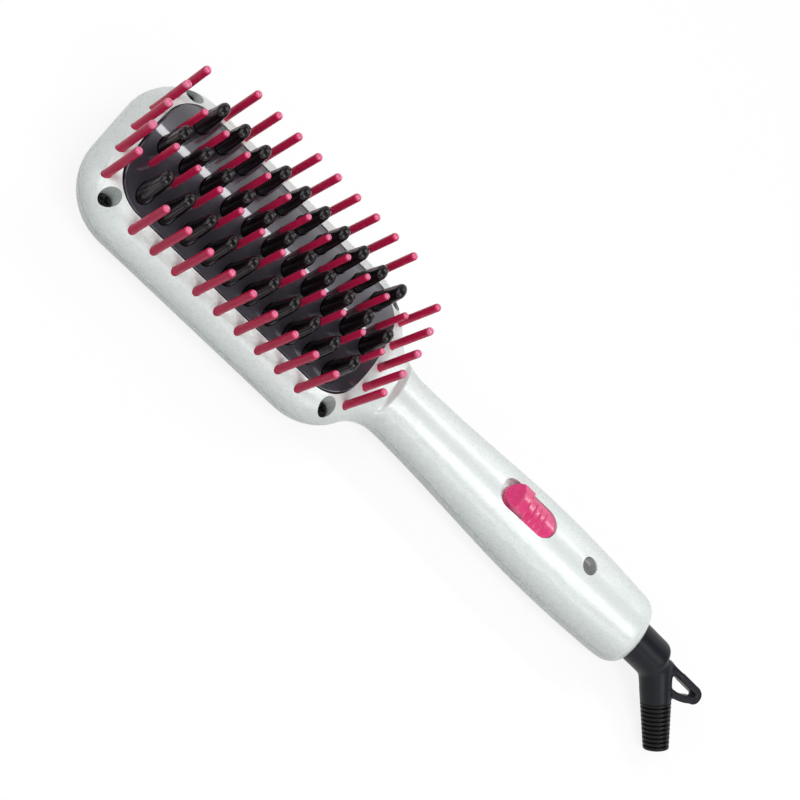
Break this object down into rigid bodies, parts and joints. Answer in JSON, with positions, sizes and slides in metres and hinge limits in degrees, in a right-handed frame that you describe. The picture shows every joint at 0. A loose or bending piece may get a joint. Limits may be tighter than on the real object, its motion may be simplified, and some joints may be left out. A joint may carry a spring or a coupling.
{
  "type": "hair straightening brush",
  "caption": "Corded hair straightening brush with a heated comb plate, cool bristle pins, a slide switch on the handle and a swivelling cord outlet with a hanging loop.",
  "frame": {"origin": "on the flat of the back cover that the brush lies on, below the middle of the bristle field", "axes": "+X from the bristle head along the handle to the cord outlet, +Y across the head, +Z out of the bristle face, square to the rest face"},
  "size_m": [0.2678, 0.0564, 0.0402],
  "materials": {
    "shell_white": "pearl white, satin gloss",
    "plate_grey": "dark grey satin with a faint violet sheen",
    "tooth_black": "glossy black",
    "pin_crimson": "glossy translucent crimson pink",
    "ring_grey": "moulded, matte",
    "heater_aluminium": "mill finish",
    "film_amber": "polyimide film",
    "contact_brass": "stamped",
    "ptc_grey": "sintered ceramic, matte",
    "clamp_steel": "zinc plated",
    "fuse_white": "ceramic sleeve",
    "sensor_glass": "glass bead",
    "screw_black": "black oxide",
    "board_green": "solder mask",
    "component_black": "moulded",
    "capacitor_yellow": "epoxy coated",
    "lever_white": "moulded",
    "knob_pink": "glossy hot pink",
    "led_clear": "clear lens",
    "lamp_grey": "frosted",
    "outlet_black": "matte blue-black",
    "relief_black": "matte blue-black",
    "lead_sleeve": "silicone sleeve"
  },
  "bodies": {
    "casing": {"front_cover": "shell_white", "back_cover": "shell_white", "comb_plate": "plate_grey", "comb_teeth": "tooth_black", "inner_bristles": "pin_crimson", "outer_bristles": "pin_crimson", "bristle_ring": "ring_grey", "contact_holder": "ring_grey", "heating_plate": "heater_aluminium", "heat_shield": "heater_aluminium", "upper_insulation_film": "film_amber", "lower_insulation_film": "film_amber", "upper_electrode": "contact_brass", "lower_electrode": "contact_brass", "contact_springs": "contact_brass", "ptc_heaters": "ptc_grey", "heater_clamp": "clamp_steel", "clamp_screws": "clamp_steel", "comb_screws": "clamp_steel", "board_screws": "clamp_steel", "thermal_fuse": "fuse_white", "temperature_sensor": "sensor_glass", "head_screws": "screw_black", "handle_screws": "screw_black", "control_board": "board_green", "slide_switch": "component_black", "power_triac": "component_black", "control_chip": "component_black", "film_capacitor": "capacitor_yellow", "power_led": "led_clear", "light_pipe": "lamp_grey", "heater_leads": "lead_sleeve", "supply_leads": "lead_sleeve"},
    "switch_slider": {"switch_knob": "knob_pink", "switch_lever": "lever_white"},
    "cord_swivel_body": {"swivel_elbow": "outlet_black", "strain_relief": "relief_black", "slip_rings": "contact_brass"}
  },
  "joints": [
    {"name": "switch_slide", "type": "slide", "parent": "casing", "child": "switch_slider", "axis": [-1, 0, 0], "range_m": [0, 0.0026]},
    {"name": "cord_swivel", "type": "hinge", "parent": "casing", "child": "cord_swivel_body", "pos_m": [0.1736, 0, 0.012], "axis": [1, 0, 0], "continuous": true}
  ]
}
